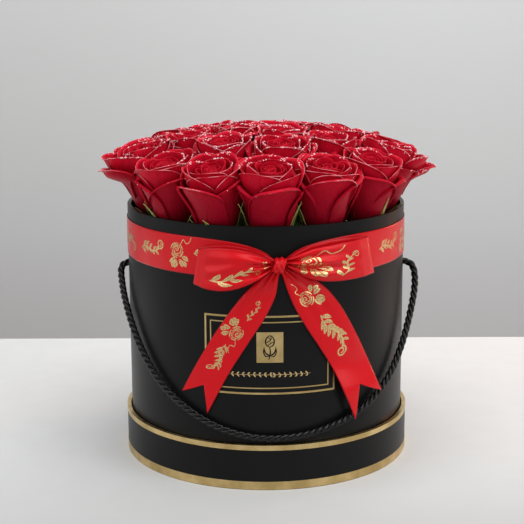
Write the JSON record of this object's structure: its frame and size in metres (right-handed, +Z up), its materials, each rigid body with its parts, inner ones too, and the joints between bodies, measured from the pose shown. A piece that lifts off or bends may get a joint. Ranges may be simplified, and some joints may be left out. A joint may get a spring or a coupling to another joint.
{
  "type": "flower box",
  "caption": "Round covered hat box standing in its upturned lid, with a rope handle, a ribbon bow and a lift-out insert of red roses in floral foam.",
  "frame": {"origin": "centre of the upturned lid's underside, on the table", "axes": "+Z up, -Y towards the front with the bow and label, +X to the right seen from the front"},
  "size_m": [0.2196, 0.2198, 0.2389],
  "materials": {
    "black_paper": "matte black covering paper with a fine grain",
    "lining_paper": "plain matte black lining paper",
    "grey_board": "raw grey board",
    "gold_foil": "brushed pale gold foil",
    "red_ribbon": "red satin ribbon with gold sprigs",
    "black_rope": "glossy black three-strand twisted cord",
    "clear_film": "thin clear film round the wet foam",
    "floral_foam": "soaked green floral foam, open cells",
    "green_stem": "cut green rose stems",
    "green_sepal": "green sepals, waxy",
    "rose_petal": "velvety deep red petals with frosted edges"
  },
  "bodies": {
    "lid": {"lid_base_paper": "black_paper", "lid_board": "grey_board", "lid_wall": "grey_board", "lid_wrap": "black_paper", "lid_lining": "lining_paper", "lid_trim_mouth": "gold_foil", "lid_trim_edge": "gold_foil"},
    "box": {"box_base_paper": "black_paper", "box_floor": "grey_board", "box_wall": "grey_board", "box_wrap": "black_paper", "box_lining": "lining_paper", "label_frame_outer": "gold_foil", "label_frame_inner": "gold_foil", "label_emblem": "gold_foil", "label_ornament": "gold_foil", "ribbon_band": "red_ribbon", "bow_knot": "red_ribbon", "bow_loop_left": "red_ribbon", "bow_loop_right": "red_ribbon", "bow_tail_left": "red_ribbon", "bow_tail_right_root": "red_ribbon"},
    "tail_right": {"bow_tail_right": "red_ribbon"},
    "handle": {"rope_handle": "black_rope", "rope_knot_left": "black_rope", "rope_knot_right": "black_rope"},
    "flowers": {"foam_film": "clear_film", "foam_block": "floral_foam", "rose_stems": "green_stem", "rose_calyxes": "green_sepal", "rose_head_01": "rose_petal", "rose_head_02": "rose_petal", "rose_head_03": "rose_petal", "rose_head_04": "rose_petal", "rose_head_05": "rose_petal", "rose_head_06": "rose_petal", "rose_head_07": "rose_petal", "rose_head_08": "rose_petal", "rose_head_09": "rose_petal", "rose_head_10": "rose_petal", "rose_head_11": "rose_petal", "rose_head_12": "rose_petal", "rose_head_13": "rose_petal", "rose_head_14": "rose_petal", "rose_head_15": "rose_petal", "rose_head_16": "rose_petal", "rose_head_17": "rose_petal", "rose_head_18": "rose_petal", "rose_head_19": "rose_petal", "rose_head_20": "rose_petal", "rose_head_21": "rose_petal", "rose_head_22": "rose_petal", "rose_head_23": "rose_petal", "rose_head_24": "rose_petal", "rose_head_25": "rose_petal"}
  },
  "joints": [
    {"name": "box_lift", "type": "slide", "parent": "lid", "child": "box", "axis": [0, 0, 1], "range_m": [0, 0.06]},
    {"name": "flowers_lift", "type": "slide", "parent": "box", "child": "flowers", "axis": [0, 0, 1], "range_m": [0, 0.2]},
    {"name": "handle_swing", "type": "hinge", "parent": "box", "child": "handle", "pos_m": [0, 0, 0.137], "axis": [-1, 0, 0], "range_deg": [0, 40]},
    {"name": "tail_lift", "type": "hinge", "parent": "box", "child": "tail_right", "pos_m": [0.0254, -0.0984, 0.1445], "axis": [-0.9701, -0.2425, 0], "range_deg": [0, 77]}
  ],
  "couplings": [
    {"joint": "tail_lift", "follows": "handle_swing", "ratio": 1.9}
  ]
}
